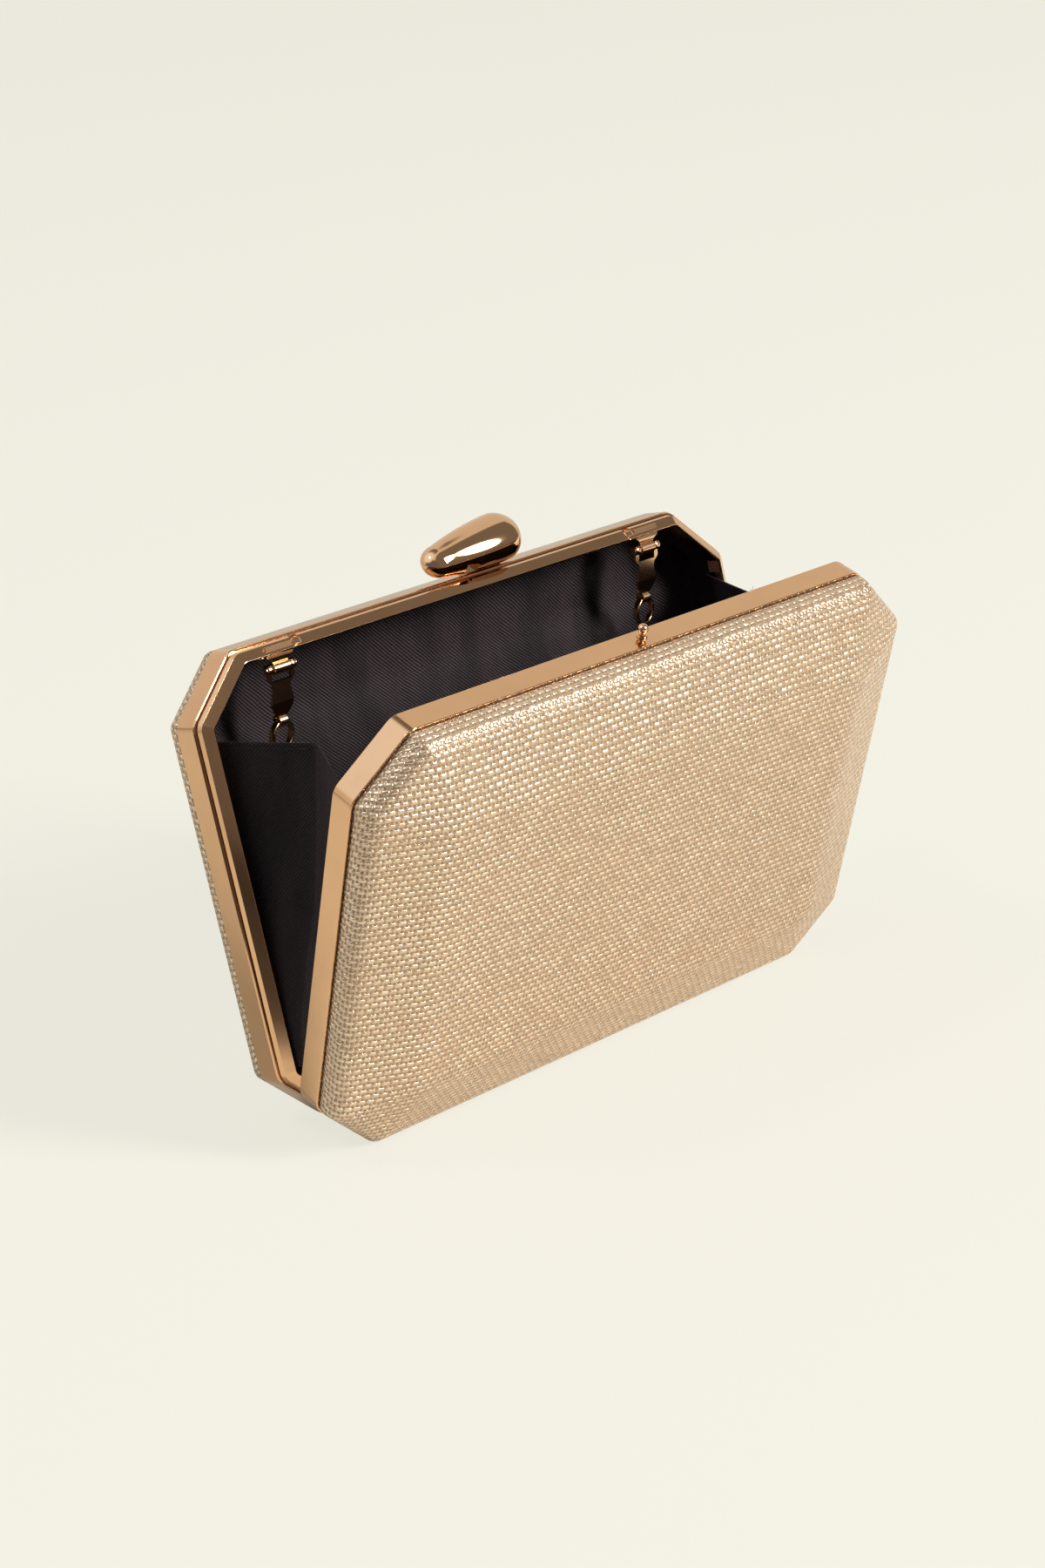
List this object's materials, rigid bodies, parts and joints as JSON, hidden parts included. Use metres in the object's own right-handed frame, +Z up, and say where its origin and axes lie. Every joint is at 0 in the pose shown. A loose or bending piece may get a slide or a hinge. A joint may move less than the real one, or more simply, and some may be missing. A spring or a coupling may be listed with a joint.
{
  "type": "clutch bag",
  "caption": "Hard box clutch bag: two metal-framed, cloth-covered halves hinged along the bottom, with folding side gussets, a pebble clasp and inner chain rings.",
  "frame": {"origin": "middle of the bag's footprint, on the surface that it stands on", "axes": "+X along the hinge and the long way of the bag, +Y towards the half with the clasp, +Z up; the two halves lean 15 degrees each way, as the bag stands open"},
  "size_m": [0.19, 0.0974, 0.1422],
  "materials": {
    "frame_gold": "polished rose gold plate",
    "fitting_gold": "polished rose gold plate",
    "pebble_gold": "mirror polished gold plate",
    "woven_gold": "coarse woven metallic yarn",
    "shell_board": "plain moulded",
    "lining_cloth": "black twill",
    "gusset_cloth": "black twill",
    "pin_steel": "plain steel"
  },
  "bodies": {
    "back_case": {"back_frame": "frame_gold", "back_shell": "shell_board", "back_cover": "woven_gold", "back_lining": "lining_cloth", "left_hinge_pin": "pin_steel", "right_hinge_pin": "pin_steel", "clasp_base": "fitting_gold", "clasp_pin": "pin_steel", "clasp_spring": "pin_steel", "left_lug_clip": "fitting_gold", "right_lug_clip": "fitting_gold", "left_lug_pin": "pin_steel", "right_lug_pin": "pin_steel", "left_gusset": "gusset_cloth", "right_gusset": "gusset_cloth"},
    "front_case": {"front_frame": "frame_gold", "front_shell": "shell_board", "front_cover": "woven_gold", "front_lining": "lining_cloth", "catch_stud": "fitting_gold"},
    "clasp": {"clasp_pebble": "pebble_gold", "clasp_lever": "fitting_gold"},
    "left_tab": {"left_chain_tab": "fitting_gold"},
    "right_tab": {"right_chain_tab": "fitting_gold"},
    "left_ring": {"left_chain_ring": "fitting_gold"},
    "right_ring": {"right_chain_ring": "fitting_gold"}
  },
  "joints": [
    {"name": "case_hinge", "type": "hinge", "parent": "back_case", "child": "front_case", "pos_m": [0, 0, 0.00277], "axis": [1, 0, 0], "range_deg": [-30, 3], "deforming": ["left_gusset", "right_gusset"]},
    {"name": "clasp_tilt", "type": "hinge", "parent": "back_case", "child": "clasp", "pos_m": [0.009, 0.03764, 0.12934], "axis": [-1, 0, 0], "range_deg": [0, 10], "stiffness_Nm_per_rad": 0.03, "springref_deg": -11.46},
    {"name": "left_tab_swing", "type": "hinge", "parent": "back_case", "child": "left_tab", "pos_m": [-0.0658, 0.03032, 0.12095], "axis": [-1, 0, 0], "range_deg": [-20, 50]},
    {"name": "right_tab_swing", "type": "hinge", "parent": "back_case", "child": "right_tab", "pos_m": [0.0658, 0.03032, 0.12095], "axis": [-1, 0, 0], "range_deg": [-20, 50]},
    {"name": "left_ring_swing", "type": "hinge", "parent": "left_tab", "child": "left_ring", "pos_m": [-0.0658, 0.03193, 0.10536], "axis": [-1, 0, 0], "range_deg": [-35, 35]},
    {"name": "right_ring_swing", "type": "hinge", "parent": "right_tab", "child": "right_ring", "pos_m": [0.0658, 0.03193, 0.10536], "axis": [-1, 0, 0], "range_deg": [-35, 35]}
  ]
}
